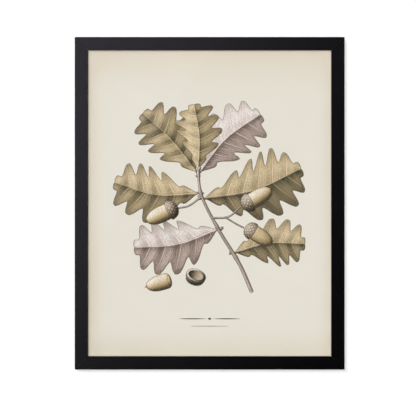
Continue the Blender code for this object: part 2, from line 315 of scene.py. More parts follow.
def rubber():
    s = Shading("soft_rubber")
    s.set(Base_Color=s.mix(s.noise(300, 3), srgb(34, 34, 35), srgb(48, 48, 49)), Roughness=0.72)
    s.bump(s.noise(1500, 3), 0.05 * MM, 0.6)
    return s.material


def hardboard():
    """Pressed brown board with pale fibres in its smooth face."""
    s = Shading("hardboard")
    base = s.mix(s.spread(s.noise(14, 4), 0.2, 0.8, 0, 1), srgb(118, 82, 53), srgb(127, 90, 59))
    fibres = s.spread(s.noise(700, 5, (1, 1, 0.4), 0.75), 0.54, 0.68, 0, 0.5)
    flecks = s.spread(s.noise(900, 5, (0.35, 1, 1), 0.75), 0.56, 0.70, 0, 0.45)
    base = s.mix(fibres, base, srgb(164, 124, 84))
    base = s.mix(flecks, base, srgb(78, 52, 32))
    s.set(Base_Color=base, Roughness=s.spread(s.noise(220, 3), 0.3, 0.7, 0.48, 0.66))
    s.bump(s.noise(1100, 4), 0.06 * MM, 0.5)
    return s.material


def kraft_board():
    """Brown corrugated board."""
    s = Shading("kraft_board")
    base = s.mix(s.noise(60, 4), srgb(178, 142, 100), srgb(196, 160, 116))
    s.set(Base_Color=base, Roughness=0.85)
    s.bump(s.noise(900, 4), 0.05 * MM, 0.5)
    return s.material


# The drawing: an oak sprig, in millimetres about the print's middle, x to the right and z up

SEED = 20
PATH_STEPS = 80
ELLIPSE_PLACES = 28
LIGHT = np.array((-0.52, 0.50, 0.69))
LEAN = 0.42
LOBE_STEPS = 12
LOBE_DEPTH = 0.44
GRID_PITCH = 2.3
CONTOUR_W = 0.6
CONTOUR_SHADE_W = 0.8
HATCH_PITCH = 2.1
HATCH_OUT = (0.42, 0.62, 0.48, 0.12)
HATCH_BACK = (0.62, 0.48, 0.12)
BLOOM_OFFSET = (5, -7)
BLOOM_RADIUS = 16.0
BLOOM_STRENGTH = 0.3
MERGE_BELOW = 0.02
LEAF_TONES = ((226, 208, 172), (200, 181, 144), (168, 151, 115), (118, 106, 78), (64, 61, 46))
BACK_TONES = ((240, 233, 227), (219, 207, 198), (190, 173, 161), (140, 121, 109), (82, 70, 61))
TWIG_TONES = ((236, 226, 216), (196, 180, 166), (146, 130, 116), (96, 83, 72), (58, 50, 42))
NUT_TONES = ((246, 238, 222), (216, 198, 160), (182, 160, 117), (126, 107, 72), (70, 62, 44))
CUP_TONES = ((222, 210, 192), (182, 166, 144), (136, 121, 100), (88, 78, 60), (48, 44, 33))
LINE_TONES = ((84, 76, 58), (58, 52, 39))


def unit(vectors):
    return vectors / np.linalg.norm(vectors, axis=-1, keepdims=True)


def tones(shade, palette):
    """Ink colours from a palette's lightest to its deepest as shade goes from 0 to 1."""
    stops = np.linspace(0, 1, len(palette))
    levels = np.array([srgb(*colour) for colour in palette])
    channels = [np.interp(shade, stops, levels[:, k]) for k in range(3)]
    return np.stack(channels + [np.ones(len(shade))], axis=-1)


def line_ink(places):
    return tones(np.full(len(places), 0.3), LINE_TONES)


def bare(places):
    return np.zeros((len(places), 4))


def smooth(stops, steps):
    """Places on a smooth curve through every stop."""
    stops = np.array(stops, float)
    slopes = np.gradient(stops, axis=0)
    u = np.linspace(0, len(stops) - 1, steps + 1)
    k = np.minimum(u.astype(int), len(stops) - 2)
    f = (u - k)[:, None]
    ends = stops[k] * (1 + 2 * f) * (1 - f) ** 2 + stops[k + 1] * f * f * (3 - 2 * f)
    return ends + slopes[k] * f * (1 - f) ** 2 + slopes[k + 1] * f * f * (f - 1)


def turn(first, second, third):
    """Above zero where the way from first to third bends left at second."""
    there, on = second - first, third - second
    return there[0] * on[1] - there[1] * on[0]


def inside(places, outline):
    """Which of the places lie within an outline."""
    found = np.zeros(len(places), bool)
    for (x0, z0), (x1, z1) in zip(outline, np.roll(outline, -1, axis=0)):
        if z0 == z1:
            continue
        level = (places[:, 1] >= z0) != (places[:, 1] >= z1)
        crossing = x0 + (places[:, 1] - z0) * (x1 - x0) / (z1 - z0)
        found ^= level & (places[:, 0] < crossing)
    return found


class Drawing:
    """Outlines from the back to the front, each with the rule for its ink's colour at any place."""

    def __init__(self, width, height):
        self.places = []
        self.outlines = []
        self.rules = []
        self.fills = []
        self.shadows = []
        x, z = width / 2, height / 2
        self.lay([(-x, -z), (x, -z), (x, z), (-x, z)], bare)

    def lay(self, outline, rule):
        first = len(self.places)
        self.places += [tuple(place) for place in outline]
        self.outlines.append(list(range(first, len(self.places))))
        self.rules.append(rule)

    def fill(self, outline, rule):
        self.lay(outline, rule)
        self.fills.append(np.array(outline))

    def line(self, path, widths, rule):
        """A line of one quad a stretch, as wide at each place as widths says."""
        path = np.array(path, float)
        along = unit(np.gradient(path, axis=0))
        left = np.stack((-along[:, 1], along[:, 0]), axis=-1) * np.array(widths)[:, None] / 2
        one, other = path + left, path - left
        for k in range(len(path) - 1):
            quad = (one[k], other[k], other[k + 1], one[k + 1])
            if turn(quad[0], quad[1], quad[2]) > 0 and turn(quad[0], quad[2], quad[3]) > 0:
                self.lay(quad, rule)

    def contour(self, path):
        """A line round a form on its left, heaviest on the side away from the light."""
        along = unit(np.gradient(np.array(path), axis=0))
        away = along[:, 0] * LIGHT[1] - along[:, 1] * LIGHT[0]
        self.line(path, CONTOUR_W + CONTOUR_SHADE_W * np.clip(away, 0, 1), line_ink)

    def shadow(self, centre, radius, strength):
        """Darkens what lies behind everything that is drawn after this."""
        self.shadows.append((len(self.outlines), np.array(centre, float), radius, strength))

    def inner_places(self, rng):
        """A loose grid of places within the filled outlines, to carry their shading."""
        reach = max(np.abs(fill).max() for fill in self.fills)
        count = int(2 * reach / GRID_PITCH) + 1
        side = np.linspace(-reach, reach, count)
        grid = np.stack(np.meshgrid(side, side), axis=-1).reshape(-1, 2)
        grid += rng.uniform(-0.35, 0.35, grid.shape) * GRID_PITCH
        kept = np.zeros(len(grid), bool)
        for fill in self.fills:
            kept |= inside(grid, fill)
        return grid[kept]

    def triangles(self, rng):
        """The sheet's places, its triangles, the front outline over each, and the sheet's four corners."""
        places = self.places + self.inner_places(rng).tolist()
        flat = [Vector(place) for place in places]
        found = delaunay_2d_cdt(flat, [], self.outlines, 1, 1e-3, True)
        verts, tris, sources, covers = found[0], found[2], found[3], found[5]
        order = {source: k for k, near in enumerate(sources) for source in near if source < 4}
        top = np.array([max(cover) for cover in covers])
        return np.array(verts), np.array(tris), top, [order[k] for k in range(4)]

    def colours(self, corners, top):
        """The ink at each triangle's corners, with the shadows that fall on it."""
        result = np.zeros((len(corners), 3, 4))
        groups = {}
        for number, rule in enumerate(self.rules):
            groups.setdefault(rule, []).append(number)
        for rule, numbers in groups.items():
            chosen = np.isin(top, numbers)
            if chosen.any():
                result[chosen] = rule(corners[chosen].reshape(-1, 2)).reshape(-1, 3, 4)
        for layer, centre, radius, strength in self.shadows:
            apart = ((corners - centre) ** 2).sum(-1) / radius ** 2
            fall = strength * np.exp(-apart) * (top < layer)[:, None]
            result[..., :3] *= 1 - fall[..., None]
        return result


class Path:
    """A smooth curve. A place near it is s, its share of the length, and t, out to its left."""

    def __init__(self, stops):
        self.points = smooth(stops, PATH_STEPS)
        walked = np.cumsum(np.hypot(*np.diff(self.points, axis=0).T))
        self.length = walked[-1]
        self.shares = np.concatenate(([0.0], walked / self.length))
        self.along = unit(np.gradient(self.points, axis=0))

    def at(self, s, table):
        return np.stack([np.interp(s, self.shares, table[:, k]) for k in (0, 1)], axis=-1)

    def heading(self, s):
        return unit(self.at(s, self.along))

    def spot(self, s, t, lean=0.0):
        heading = self.heading(s)
        left = np.stack((-heading[..., 1], heading[..., 0]), axis=-1)
        t = np.asarray(t, float)[..., None]
        return self.at(s, self.points) + left * t + heading * np.abs(t) * lean

    def locate(self, places, lean=0.0):
        apart = places[:, None, :] - self.points[None, :, :]
        near = np.argmin((apart ** 2).sum(-1), axis=1)
        offset = places - self.points[near]
        along = self.along[near]
        t = along[:, 0] * offset[:, 1] - along[:, 1] * offset[:, 0]
        s = self.shares[near] + ((offset * along).sum(-1) - lean * np.abs(t)) / self.length
        return np.clip(s, 0, 1), t


class Leaf(Path):
    """A lobed leaf about its midrib, with the veins running forward into the lobes."""

    def __init__(self, base, tip, bow, share, lobes, palette, tone, rng):
        base, tip = np.array(base, float), np.array(tip, float)
        side = np.array((base[1] - tip[1], tip[0] - base[0]))
        super().__init__((base, (base + tip) / 2 + side * bow, tip))
        self.half_width = share * self.length
        self.lobes = lobes
        self.count = lobes + 0.5
        self.sizes = rng.uniform(0.82, 1.1, (2, lobes + 1))
        self.palette = palette
        self.tone = tone
        self.wash = self.rule(0.0)
        self.light = self.rule(-0.22)
        self.dark = self.rule(0.27)

    def fullness(self, s):
        """Half the width between the lobes' tips: narrow at the base, and round at the end."""
        s = np.clip(s, 0, 1)
        base = np.clip(s / 0.3, 0, 1) ** 0.4
        end = np.sqrt(1 - np.clip((s - 0.8) / 0.2, 0, 1) ** 2)
        return self.half_width * base * np.sin(0.92 * pi * s ** 0.95) ** 0.75 * end

    def reach(self, s, side):
        """How far the blade goes out from the midrib: side 0 is its left, 1 its right."""
        q = self.count * np.asarray(s, float)
        size = self.sizes[side][np.minimum(q.astype(int), self.lobes)]
        lobe = 1 - np.abs(np.cos(pi * q)) ** 3.2
        return self.fullness(s) * (1 - LOBE_DEPTH + LOBE_DEPTH * lobe * size)

    def outline(self):
        first = (1 - np.cos(pi * np.arange(LOBE_STEPS) / LOBE_STEPS)) / 2
        last = np.sin(pi / 2 * np.arange(LOBE_STEPS) / LOBE_STEPS) / 2 + self.lobes
        q = np.concatenate([first + lobe for lobe in range(self.lobes)] + [last])
        s = q[1:] / self.count
        left = self.spot(s, self.reach(s, 0), LEAN)
        right = self.spot(s, -self.reach(s, 1), LEAN)
        return np.concatenate((self.points[:1], right, self.points[-1:], left[::-1]))

    def rule(self, deeper):
        """The ink's colour from the fold at the midrib, the ripple between veins and the margin."""
        def ink(places):
            s, t = self.locate(places, LEAN)
            u = np.clip(np.abs(t) / np.maximum(self.fullness(s), 1), 0, 1)
            heading = self.heading(s)
            lit = np.sign(t) * (heading[:, 0] * LIGHT[1] - heading[:, 1] * LIGHT[0])
            ripple = np.sin(2 * pi * self.count * s) * (heading @ LIGHT[:2])
            shade = self.tone + deeper - 0.26 * lit - 0.24 * ripple * (1 - u ** 3)
            shade += 0.26 * np.exp(-(t / (0.04 * self.length)) ** 2) * (lit < 0)
            shade -= 0.16 * np.exp(-((u - 0.4) / 0.25) ** 2) * (lit > 0)
            shade += 0.18 * u ** 4
            return tones(np.clip(shade, 0, 1), self.palette)
        return ink

    def vein(self, drawing, s, side, share, width):
        """A raised vein with its shaded edge, from the midrib out to a share of the blade."""
        sign = 1 - 2 * side
        f = np.linspace(0, share, 7)
        path_s = s + 0.025 * f ** 2
        t = sign * f * self.reach(s, side)
        taper = 1 - 0.75 * f / share
        drawing.line(self.spot(path_s - 0.8 / self.length, t, LEAN), width * 0.8 * taper, self.dark)
        drawing.line(self.spot(path_s, t, LEAN), width * taper, self.light)

    def hatch(self, drawing, rng):
        """Fine strokes along the veins' direction: from the midrib outwards, and in from the margin."""
        count = int(self.length / HATCH_PITCH)
        for side in (0, 1):
            sign = 1 - 2 * side
            for k in range(3, count - 2):
                s = (k + rng.uniform(0.1, 0.9)) / count
                reach = float(self.reach(s, side))
                out = reach * np.linspace(rng.uniform(0.02, 0.12), rng.uniform(0.35, 0.72), 4)
                drawing.line(self.spot(s, sign * out, LEAN), HATCH_OUT, self.dark)
                back = reach * np.linspace(rng.uniform(0.9, 0.97), rng.uniform(0.74, 0.86), 3)
                drawing.line(self.spot(s, sign * back, LEAN), HATCH_BACK, self.dark)

    def draw(self, drawing, rng):
        for share in (0.3, 0.55, 0.8):
            drawing.shadow(self.at(share, self.points) + BLOOM_OFFSET, BLOOM_RADIUS, BLOOM_STRENGTH)
        outline = self.outline()
        drawing.fill(outline, self.wash)
        self.hatch(drawing, rng)
        for lobe in range(self.lobes):
            for side in (0, 1):
                self.vein(drawing, (lobe + 0.5) / self.count, side, 0.92, 1.7)
                self.vein(drawing, (lobe + 0.98) / self.count, side, 0.6, 0.8)
        s = np.linspace(0, 0.97, 24)
        drawing.line(self.spot(s, -1.7 + 1.3 * s), 2.0 - 1.5 * s, self.dark)
        drawing.line(self.spot(s, 0 * s), 3.0 - 2.3 * s, self.light)
        drawing.contour(np.concatenate((outline, outline[:1])))


class Turned(Path):
    """A round form about a curve, or a hollow, with its half width given by a rule for s."""

    def __init__(self, stops, half, palette, tone=0.0, hollow=False):
        super().__init__(stops)
        self.half = half
        self.palette = palette
        self.tone = tone
        self.sense = -1 if hollow else 1
        self.wash = self.rule(0.0)
        self.light = self.rule(-0.22)
        self.dark = self.rule(0.3)

    def rule(self, deeper):
        """The ink's colour from how the form's surface turns away from the light."""
        def ink(places):
            s, t = self.locate(places)
            step = 0.01
            rise = self.half(np.minimum(s + step, 1)) - self.half(np.maximum(s - step, 0))
            slope = rise / (2 * step * self.length)
            ahead = -slope / np.sqrt(1 + slope ** 2)
            level = np.sqrt(1 - ahead ** 2)
            across = np.clip(-t / np.maximum(self.half(s), 0.3), -1, 1)
            heading = self.heading(s)
            right = np.stack((heading[:, 1], -heading[:, 0]), axis=-1)
            tilt = right * (across * level)[:, None] + heading * ahead[:, None]
            light = self.sense * (tilt @ LIGHT[:2]) + level * np.sqrt(1 - across ** 2) * LIGHT[2]
            shade = self.tone + deeper + 0.95 - 0.95 * light
            return tones(np.clip(shade, 0, 1), self.palette)
        return ink

    def edges(self, steps):
        """The outline as its right side and, backwards, its left."""
        s = (1 - np.cos(pi * np.linspace(0, 1, steps))) / 2
        half = self.half(s)
        return self.spot(s, -half), self.spot(s, half)[::-1]

    def draw(self, drawing, steps=24):
        right, left = self.edges(steps)
        outline = np.concatenate((right, left))
        apart = np.hypot(*(outline - np.roll(outline, -1, axis=0)).T)
        drawing.fill(outline[apart > MERGE_BELOW], self.wash)
        drawing.contour(right)
        drawing.contour(left)

    def streaks(self, drawing, rng, count, low, high):
        """Strokes along the form, side by side from one edge to the other."""
        for share in np.linspace(-0.9, 0.9, count):
            s = np.linspace(low + rng.uniform(0, 0.06), high - rng.uniform(0, 0.1), 8)
            path = self.spot(s, share * self.half(s))
            drawing.line(path, 0.34 * np.sin(pi * np.linspace(0.1, 0.95, 8)), self.dark)


def taper(start, stop, knots=(), swell=0.0):
    """A rule for a stalk's half width, with a small swelling at each knot."""
    def half(s):
        width = start + (stop - start) * s
        for knot in knots:
            width = width + swell * np.exp(-((s - knot) / 0.022) ** 2)
        return width
    return half


def nut_half(radius):
    def half(s):
        far = np.clip((s - 0.35) / 0.65, 0, 1)
        near = np.clip((0.35 - s) / 0.35, 0, 1)
        return radius * np.sqrt(np.clip(1 - far ** 2.4, 0, 1)) * np.sqrt(np.clip(1 - near ** 5, 0, 1))
    return half


def cup_half(radius):
    def half(s):
        return radius * np.sqrt(np.clip(1 - (1 - s) ** 2.3, 0, 1))
    return half


def way(degrees):
    """The unit vector that points this far round from the right."""
    return np.array((cos(radians(degrees)), sin(radians(degrees))))


def ellipse(centre, across, half_wide, half_deep):
    """Places on an ellipse whose wide axis runs along the unit vector across."""
    angle = np.linspace(0, 2 * pi, ELLIPSE_PLACES)[:, None]
    across = np.array(across)
    ahead = np.array((-across[1], across[0]))
    return np.array(centre) + across * np.cos(angle) * half_wide + ahead * np.sin(angle) * half_deep


NUT_R = 13.2
NUT_LENGTH = 40.0
NUT_ROOT = 4.0
CUP_R = 15.4
CUP_LENGTH = 15.5
CUP_RIM = 3.4
HOLLOW_WIDE = 0.78
HOLLOW_DEEP = 0.72
SCALE_ROWS = 4
SCALE_STEP = 0.5
SCALE_LIMIT = 1.35


def draw_nut(drawing, rim, axis, scale, rng):
    root, tip = rim - axis * NUT_ROOT * scale, rim + axis * NUT_LENGTH * scale
    nut = Turned((root, tip), nut_half(NUT_R * scale), NUT_TONES)
    nut.draw(drawing)
    nut.streaks(drawing, rng, 13, 0.12, 0.94)
    drawing.line((tip - axis * 1.5, tip + axis * 0.8, tip + axis * 3.4), (4.0, 2.0, 0.4), nut.dark)
    return nut


def draw_scales(drawing, cup, rise):
    """Arcs in rows up the cup, each row half a step round from the last, with a light patch in each."""
    for row in range(SCALE_ROWS):
        s = 0.2 + 0.8 * row / SCALE_ROWS
        for step in range(-3, 4):
            angle = (step + row % 2 / 2) * SCALE_STEP
            if abs(angle) > SCALE_LIMIT:
                continue
            angles = angle + SCALE_STEP * np.array((-0.46, -0.2, 0.2, 0.46))
            t = -np.sin(angles) * cup.half(s)
            lift = rise * np.cos(angles)[:, None] * s
            arc = cup.spot(s + np.array((-0.12, 0.06, 0.06, -0.12)), t) + lift
            drawing.line(arc, (0.5, 1.3, 1.3, 0.5), cup.dark)
            drawing.line(arc[1:3] - rise * 0.4, (1.7, 1.7), cup.light)


def draw_cup(drawing, rim, axis, scale, open_by=0.0):
    """A scaly cup that ends at its rim. Turned open by a share of its radius, it shows its hollow."""
    radius = CUP_R * scale
    cup = Turned((rim - axis * CUP_LENGTH * scale, rim), cup_half(radius), CUP_TONES, 0.04)
    across = (axis[1], -axis[0])
    cup.draw(drawing)
    if open_by:
        draw_scales(drawing, cup, -axis * radius * open_by)
        lip = ellipse(rim, across, radius, radius * open_by)
        drawing.fill(lip[:-1], cup.light)
        drawing.contour(lip)
        bowl_r = radius * HOLLOW_WIDE
        hollow = ellipse(rim, across, bowl_r, radius * open_by * HOLLOW_DEEP)
        span = (rim - axis * bowl_r, rim + axis * bowl_r)
        bowl = Turned(span, taper(bowl_r, bowl_r), CUP_TONES, 0.12, hollow=True)
        drawing.fill(hollow[:-1], bowl.wash)
        drawing.contour(hollow)
    else:
        lip = ellipse(rim, across, radius, CUP_RIM * scale)
        drawing.fill(lip[:-1], cup.wash)
        draw_scales(drawing, cup, axis * CUP_RIM * scale)
        drawing.contour(lip[:ELLIPSE_PLACES // 2 + 1])


def draw_acorn(drawing, rim, degrees, scale, rng):
    axis = way(degrees)
    rim = np.array(rim, float)
    drawing.shadow(rim + axis * 14 + (6, -8), 22 * scale, 0.34)
    draw_nut(drawing, rim, axis, scale, rng)
    draw_cup(drawing, rim, axis, scale)


def draw_stalk(drawing, stops, start, stop):
    stalk = Turned(stops, taper(start / 2, stop / 2), TWIG_TONES)
    stalk.draw(drawing)


TWIG = ((68, -143), (48, -98), (14, -42), (-13, 12), (-19, 54))
# Base, tip, bow, half width as a share of the length, lobes, palette and tone of each leaf
LEAVES = (
    ((-21, 50), (-108, 146), -0.04, 0.34, 5, LEAF_TONES, 0.54),
    ((-17, 50), (82, 144), 0.07, 0.35, 5, BACK_TONES, 0.42),
    ((-18, 16), (-154, 34), 0.08, 0.33, 5, LEAF_TONES, 0.46),
    ((-10, 8), (148, 56), -0.07, 0.33, 6, LEAF_TONES, 0.52),
    ((14, -42), (-122, -72), 0.07, 0.33, 5, BACK_TONES, 0.44),
    ((40, -80), (154, -66), 0.07, 0.34, 5, LEAF_TONES, 0.48),
    ((-19, 54), (-25, 160), -0.05, 0.35, 5, LEAF_TONES, 0.40),
)
# Each bud's place and its way in degrees
BUDS = (((-19, 52), 62), ((-12, 8), 150), ((14, -44), 28), ((40, -82), 160))
BUD_R = 2.3
BUD_LENGTH = 8.5
# The stops of each acorn's stalk, and its widths at both ends
STALKS = (
    (((-14, 10), (-34, -4), (-52, -8)), 2.6, 2.0),
    (((4, -24), (30, -22), (50, -6)), 2.6, 2.0),
    (((24, -22), (44, -34), (56, -40)), 2.2, 2.0),
)
# Where each rim's middle is, the way in degrees and the scale
ACORNS = (((-66, -12), 205, 1.0), ((66, 2), 30, 1.0), ((70, -46), -32, 0.92))
LOOSE_NUT = ((-66.0, -125.0), 196, 0.95)
EMPTY_CUP = ((-22.0, -117.0), 70, 1.05)
EMPTY_CUP_OPEN = 0.62


def draw_sprig(drawing, rng):
    twig_half = taper(2.9, 1.7, (0.28, 0.55, 0.83, 0.97), 0.9)
    twig = Turned(TWIG, twig_half, TWIG_TONES)
    for row in LEAVES:
        leaf = Leaf(*row, rng)
        root = leaf.points[0] - leaf.along[0] * 9
        draw_stalk(drawing, (root, leaf.points[0], leaf.points[4]), 2.6, 1.8)
        leaf.draw(drawing, rng)
    for (x, z), angle in BUDS:
        end = np.array((x, z)) + way(angle) * BUD_LENGTH
        bud = Turned(((x, z), end), nut_half(BUD_R), TWIG_TONES, 0.1)
        bud.draw(drawing, 12)
    twig.draw(drawing, 60)
    twig.streaks(drawing, rng, 6, 0.02, 0.98)
    cut = ellipse(TWIG[0], way(20), 3.0, 1.5)
    drawing.fill(cut[:-1], twig.light)
    drawing.contour(cut)
    for stalk in STALKS:
        draw_stalk(drawing, *stalk)
    for acorn in ACORNS:
        draw_acorn(drawing, *acorn, rng)


def draw_figures(drawing, rng):
    """A nut out of its cup, and the empty cup, below the sprig."""
    place, degrees, scale = LOOSE_NUT
    rim, lying = np.array(place), way(degrees)
    nut = draw_nut(drawing, rim, lying, scale, rng)
    scar = ellipse(rim - lying * 0.6, (lying[1], -lying[0]), NUT_R * 0.66, 2.4)
    drawing.fill(scar[:-1], nut.light)
    drawing.contour(scar)
    place, degrees, scale = EMPTY_CUP
    draw_cup(drawing, np.array(place), way(degrees), scale, EMPTY_CUP_OPEN)


RULE_Z = -187.5
RULE_HALF = 50.0
RULE_W = 1.5
RULE_GAP = 5.5
RULE_STEPS = 16
SHORT_RULE_Z = -199.5
SHORT_RULE_HALF = 30.0
SHORT_RULE_WIDTHS = (0.5, 0.9, 0.5)
LOZENGE = 3.4


def draw_rules(drawing):
    """A swelled rule about a lozenge, and a short fine rule below it."""
    for side in (-1, 1):
        x = np.linspace(RULE_GAP, RULE_HALF, RULE_STEPS)
        swell = RULE_W * np.sin(pi * (x - RULE_GAP) / (RULE_HALF - RULE_GAP)) ** 0.8 + 0.2
        path = np.stack((side * x, np.full(RULE_STEPS, RULE_Z)), axis=-1)
        drawing.line(path, swell, line_ink)
    low, high = RULE_Z - LOZENGE * 0.6, RULE_Z + LOZENGE * 0.6
    drawing.lay([(-LOZENGE, RULE_Z), (0, low), (LOZENGE, RULE_Z), (0, high)], line_ink)
    short = [(x, SHORT_RULE_Z) for x in (-SHORT_RULE_HALF, 0, SHORT_RULE_HALF)]
    drawing.line(short, SHORT_RULE_WIDTHS, line_ink)


def new_object(name, data):
    item = bpy.data.objects.new(name, data)
    bpy.context.scene.collection.objects.link(item)
    return item


def add_piece(name, mesh, material, slot, body, *nodes, at=(0, 0, 0), swing=0.0):
    """A piece of the object on its body, in place of the nodes, turned by swing about its own y axis."""
    item = new_object(name, mesh)
    item.location = at
    item.rotation_euler = (0, swing, 0)
    if not mesh.materials:
        mesh.materials.append(material)
    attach(item, body)
    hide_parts(*nodes)


def build_print():
    """The paper as one closed sheet, its front divided along the drawing's outlines."""
    rng = np.random.default_rng(SEED)
    drawing = Drawing((sheet_high.x - sheet_low.x) / MM, (sheet_high.z - sheet_low.z) / MM)
    draw_sprig(drawing, rng)
    draw_figures(drawing, rng)
    draw_rules(drawing)
    places, tris, top, corners = drawing.triangles(rng)
    middle_z = (sheet_low.z + sheet_high.z) / 2
    verts = [(x * MM, sheet_low.y, middle_z + z * MM) for x, z in places]
    back = len(verts)
    verts += [(verts[k][0], sheet_high.y, verts[k][2]) for k in corners]
    faces = tris.tolist()
    for k in range(4):
        after = (k + 1) % 4
        faces.append((corners[after], corners[k], back + k, back + after))
    faces.append((back + 3, back + 2, back + 1, back))
    mesh = bpy.data.meshes.new("print_sheet")
    mesh.from_pydata(verts, [], faces)
    ink = mesh.color_attributes.new("ink", "FLOAT_COLOR", "CORNER")
    values = np.zeros((len(mesh.loops), 4))
    values[:tris.size] = drawing.colours(places[tris], top).reshape(-1, 4)
    ink.data.foreach_set("color", values.ravel())
    add_piece("print_sheet", mesh, printed_paper(), "print_paper", BODY, "print")


# Fixings, each about its own pivot or bearing point

SMOOTH_BELOW = radians(38)
BUTTON_T = 0.8 * MM
BUTTON_TAIL_R = 5.0 * MM
BUTTON_TIP_R = 3.6 * MM
BUTTON_TIP_X = 15.4 * MM
BUTTON_HOLE_R = 1.7 * MM
BUTTON_EASE = 0.14 * MM
BUTTON_TAPER = 5
BUTTON_STEPS = 30
SCREW_R = 1.38 * MM
SCREW_CORE_R = 1.0 * MM
SCREW_HEAD_R = 3.0 * MM
SCREW_HEAD_T = 1.5 * MM
SCREW_RIM_T = 0.7 * MM
SCREW_LENGTH = 11.5 * MM
SCREW_POINT = 2.5 * MM
SCREW_TIP_R = 0.06 * MM
SCREW_EASE = 0.12 * MM
DOME_RINGS = 26
THREAD_PITCH = 1.1 * MM
THREAD_RINGS = 42
THREAD_STEEPNESS = 3.2
THREAD_STOPS = 0.5 * MM
SCREW_SIDES = 64
RECESS_REACH = 1.7 * MM
RECESS_HALF = 0.42 * MM
RECESS_DEPTH = 0.95 * MM
RECESS_SIDE_SLOPE = 0.1 * MM
RECESS_END_SLOPE = 0.25 * MM
RECESS_RISE = 0.35
NAIL_R = 0.7 * MM
NAIL_HEAD_R = 1.9 * MM
NAIL_HEAD_T = 0.7 * MM
NAIL_LENGTH = 11.0 * MM
NAIL_POINT = 2.2 * MM
HANGER_EASE = 0.15 * MM
V_NAIL_EASE = 0.08 * MM
SHARP_ABOVE = radians(30)
BUMPER_PROFILE = (
    (0.1, 0), (4.9, 0), (5.0, 0.12), (5.0, 0.9), (4.93, 1.45), (4.68, 2.05),
    (4.3, 2.5), (3.85, 2.82), (3.4, 3.0), (1.8, 3.0), (0.1, 3.0),
)


def mesh_of(bm, name):
    bmesh.ops.recalc_face_normals(bm, faces=bm.faces)
    mesh = bpy.data.meshes.new(name)
    bm.to_mesh(mesh)
    bm.free()
    mesh.shade_smooth()
    mesh.set_sharp_from_angle(angle=SMOOTH_BELOW)
    return mesh


def ringed(name, rings, closed=False):
    """A solid whose skin runs from ring to ring, back to the first or capped at both ends."""
    bm = bmesh.new()
    loops = [[bm.verts.new(place) for place in places] for places in rings]
    after = loops[1:] + loops[:1] if closed else loops[1:]
    for low, high in zip(loops, after):
        for k in range(len(low)):
            bm.faces.new((low[k - 1], low[k], high[k], high[k - 1]))
    if not closed:
        bm.faces.new(loops[0])
        bm.faces.new(loops[-1])
    return mesh_of(bm, name)


def ring(radius, y, sides):
    """A ring about the y axis. Radius may be a rule for the angle, and y a rule for the place."""
    places = []
    for side in range(sides):
        angle = 2 * pi * side / sides
        reach = radius(angle) if callable(radius) else radius
        x, z = reach * cos(angle), reach * sin(angle)
        places.append((x, y(x, z) if callable(y) else y, z))
    return places


def turned(name, profile, sides):
    return ringed(name, [ring(radius, y, sides) for radius, y in profile])


def button_mesh():
    """A flat turn button that points along +x from its pivot hole, its edges eased."""
    tail = np.radians(np.linspace(90 + BUTTON_TAPER, 270 - BUTTON_TAPER, BUTTON_STEPS))
    tip = np.radians(np.linspace(BUTTON_TAPER - 90, 90 - BUTTON_TAPER, BUTTON_STEPS))
    angles = np.concatenate((tail, tip))
    out = np.stack((np.cos(angles), np.sin(angles)), axis=-1)
    radii = np.repeat((BUTTON_TAIL_R, BUTTON_TIP_R), BUTTON_STEPS)[:, None]
    middles = np.stack((np.repeat((0.0, BUTTON_TIP_X), BUTTON_STEPS), np.zeros(2 * BUTTON_STEPS)), axis=-1)
    edge = middles + out * radii
    inner = edge - out * BUTTON_EASE
    rays = unit(edge)
    hole = rays * BUTTON_HOLE_R
    lip = rays * (BUTTON_HOLE_R + BUTTON_EASE)
    low, high = BUTTON_EASE, BUTTON_T - BUTTON_EASE
    layers = (
        (inner, 0), (edge, low), (edge, high), (inner, BUTTON_T),
        (lip, BUTTON_T), (hole, high), (hole, low), (lip, 0),
    )
    return ringed("turn_button", [[(x, y, z) for x, z in loop] for loop, y in layers], closed=True)


def recess(x, z):
    """How deep the head's cross-shaped recess is at a place."""
    near, far = sorted((abs(x), abs(z)))
    side = min(max((RECESS_HALF - near) / RECESS_SIDE_SLOPE, 0), 1)
    end = min(max((RECESS_REACH - far) / RECESS_END_SLOPE, 0), 1)
    return side * end * RECESS_DEPTH * (1 - RECESS_RISE * far / RECESS_REACH)


def head_height(x, z):
    share = min(hypot(x, z) / SCREW_HEAD_R, 1)
    dome = SCREW_RIM_T + (SCREW_HEAD_T - SCREW_RIM_T) * (1 - share ** 4) ** 0.5
    return dome - recess(x, z)


def thread(y):
    """A rule for the shank's radius round the angle at a height y."""
    def radius(angle):
        phase = (y / THREAD_PITCH + angle / (2 * pi)) % 1
        ridge = max(0.0, 1 - abs(phase - 0.5) * THREAD_STEEPNESS)
        return SCREW_CORE_R + (SCREW_R - SCREW_CORE_R) * ridge
    return radius


def screw_mesh():
    """A pan-head wood screw, the underside of its head at y = 0 and its point at -y."""
    rings = [ring(SCREW_TIP_R, -SCREW_LENGTH, SCREW_SIDES)]
    for y in np.linspace(SCREW_POINT - SCREW_LENGTH, -THREAD_STOPS, THREAD_RINGS):
        rings.append(ring(thread(y), y, SCREW_SIDES))
    rings.append(ring(SCREW_CORE_R, 0, SCREW_SIDES))
    rings.append(ring(SCREW_HEAD_R - SCREW_EASE, 0, SCREW_SIDES))
    rings.append(ring(SCREW_HEAD_R, SCREW_EASE, SCREW_SIDES))
    for share in np.sin(np.linspace(pi / 2, 0.03, DOME_RINGS)):
        rings.append(ring(SCREW_HEAD_R * share, head_height, SCREW_SIDES))
    return ringed("wood_screw", rings)


